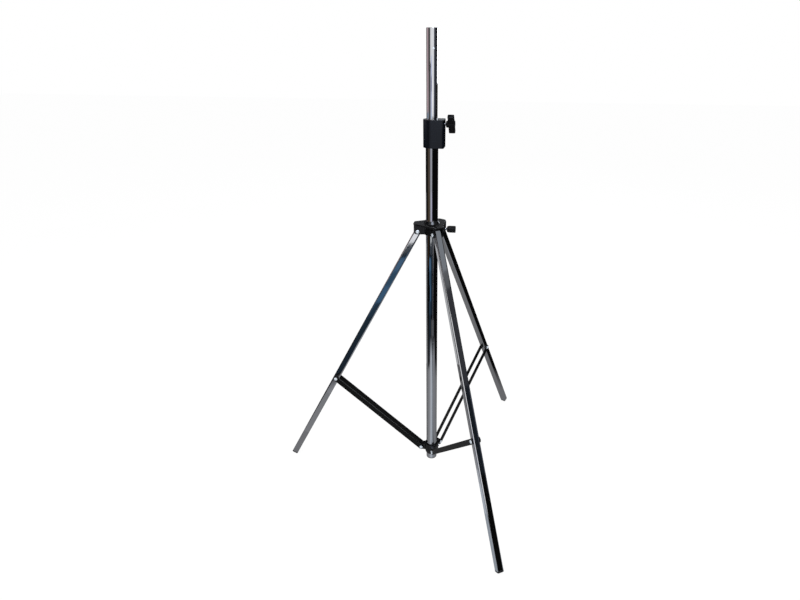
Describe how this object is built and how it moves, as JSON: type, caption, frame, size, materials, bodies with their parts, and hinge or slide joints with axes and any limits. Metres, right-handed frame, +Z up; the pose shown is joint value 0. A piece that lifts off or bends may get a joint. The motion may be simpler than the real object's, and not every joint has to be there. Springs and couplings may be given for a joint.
{
  "type": "light stand",
  "caption": "Folding light stand: a chrome column on square-tube legs with braces, a sliding riser with a clamp collar and T-shaped lock knob.",
  "frame": {"origin": "middle of the footprint's box at floor level; the column stands 122.5 mm from it towards +X", "axes": "+Z up along the column, +X from the column to both lock knobs, the left leg along -X and the front leg towards -Y"},
  "size_m": [0.7656, 0.8832, 1.391],
  "materials": {
    "chrome_tube": "bright chrome plate on steel tube",
    "bright_steel": "bright plated steel",
    "black_moulding": "satin black moulding",
    "black_plug": "plain black moulding",
    "black_paint": "satin black paint on flat steel bar",
    "brass": "turned brass"
  },
  "bodies": {
    "column": {"column_tube": "chrome_tube", "column_end_plug": "black_plug", "bottom_hub": "black_moulding", "hub_fixing_screw": "bright_steel", "clamp_collar": "black_moulding", "collar_fixing_screw": "bright_steel", "clamp_insert": "brass", "clamp_pad": "black_plug", "hub_rivet_left": "bright_steel", "hub_rivet_front": "bright_steel", "hub_rivet_back": "bright_steel"},
    "riser": {"riser_tube": "chrome_tube", "riser_top_plug": "black_plug", "plug_rivet": "bright_steel", "riser_guide_plug": "black_plug"},
    "clamp_screw": {"clamp_stud": "bright_steel", "clamp_knob": "black_moulding"},
    "spider": {"spider_collar": "black_moulding", "spider_insert": "brass", "spider_pad": "black_plug", "leg_pivot_rivet_left": "bright_steel", "leg_pivot_rivet_front": "bright_steel", "leg_pivot_rivet_back": "bright_steel"},
    "spider_screw": {"spider_stud": "bright_steel", "spider_knob": "black_moulding"},
    "leg_left": {"leg_tube_left": "chrome_tube", "foot_plug_left": "black_plug"},
    "brace_left": {"brace_bar_left_a": "black_paint", "brace_bar_left_b": "black_paint", "brace_rivet_left_a": "bright_steel", "brace_rivet_left_b": "bright_steel"},
    "leg_front": {"leg_tube_front": "chrome_tube", "foot_plug_front": "black_plug"},
    "brace_front": {"brace_bar_front_a": "black_paint", "brace_bar_front_b": "black_paint", "brace_rivet_front_a": "bright_steel", "brace_rivet_front_b": "bright_steel"},
    "leg_back": {"leg_tube_back": "chrome_tube", "foot_plug_back": "black_plug"},
    "brace_back": {"brace_bar_back_a": "black_paint", "brace_bar_back_b": "black_paint", "brace_rivet_back_a": "bright_steel", "brace_rivet_back_b": "bright_steel"}
  },
  "joints": [
    {"name": "spider_slide", "type": "slide", "parent": "column", "child": "spider", "axis": [0, 0, 1], "range_m": [0, 0.19958]},
    {"name": "riser_slide", "type": "slide", "parent": "column", "child": "riser", "axis": [0, 0, 1], "range_m": [0, 0.98]},
    {"name": "clamp_knob_turn", "type": "hinge", "parent": "column", "child": "clamp_screw", "pos_m": [0.1225, 0, 1.15542], "axis": [1, 0, 0], "continuous": true},
    {"name": "spider_knob_turn", "type": "hinge", "parent": "spider", "child": "spider_screw", "pos_m": [0.1225, 0, 0.86117], "axis": [1, 0, 0], "continuous": true},
    {"name": "leg_fold_left", "type": "hinge", "parent": "spider", "child": "leg_left", "pos_m": [0.0825, 0, 0.85367], "axis": [0, -1, 0], "range_deg": [0, 26.85]},
    {"name": "brace_fold_left", "type": "hinge", "parent": "column", "child": "brace_left", "pos_m": [0.0875, 0, 0.07702], "axis": [0, 1, 0], "range_deg": [0, 45.63]},
    {"name": "leg_fold_front", "type": "hinge", "parent": "spider", "child": "leg_front", "pos_m": [0.1425, -0.03464, 0.85367], "axis": [0.866, 0.5, 0], "range_deg": [0, 26.85]},
    {"name": "brace_fold_front", "type": "hinge", "parent": "column", "child": "brace_front", "pos_m": [0.14, -0.03031, 0.07702], "axis": [-0.866, -0.5, 0], "range_deg": [0, 45.63]},
    {"name": "leg_fold_back", "type": "hinge", "parent": "spider", "child": "leg_back", "pos_m": [0.1425, 0.03464, 0.85367], "axis": [-0.866, 0.5, 0], "range_deg": [0, 26.85]},
    {"name": "brace_fold_back", "type": "hinge", "parent": "column", "child": "brace_back", "pos_m": [0.14, 0.03031, 0.07702], "axis": [0.866, -0.5, 0], "range_deg": [0, 45.63]}
  ],
  "couplings": [
    {"joint": "leg_fold_left", "follows": "spider_slide", "rad_per_m": 2.3392},
    {"joint": "brace_fold_left", "follows": "spider_slide", "rad_per_m": 3.9816},
    {"joint": "leg_fold_front", "follows": "spider_slide", "rad_per_m": 2.3392},
    {"joint": "brace_fold_front", "follows": "spider_slide", "rad_per_m": 3.9816},
    {"joint": "leg_fold_back", "follows": "spider_slide", "rad_per_m": 2.3392},
    {"joint": "brace_fold_back", "follows": "spider_slide", "rad_per_m": 3.9816}
  ]
}
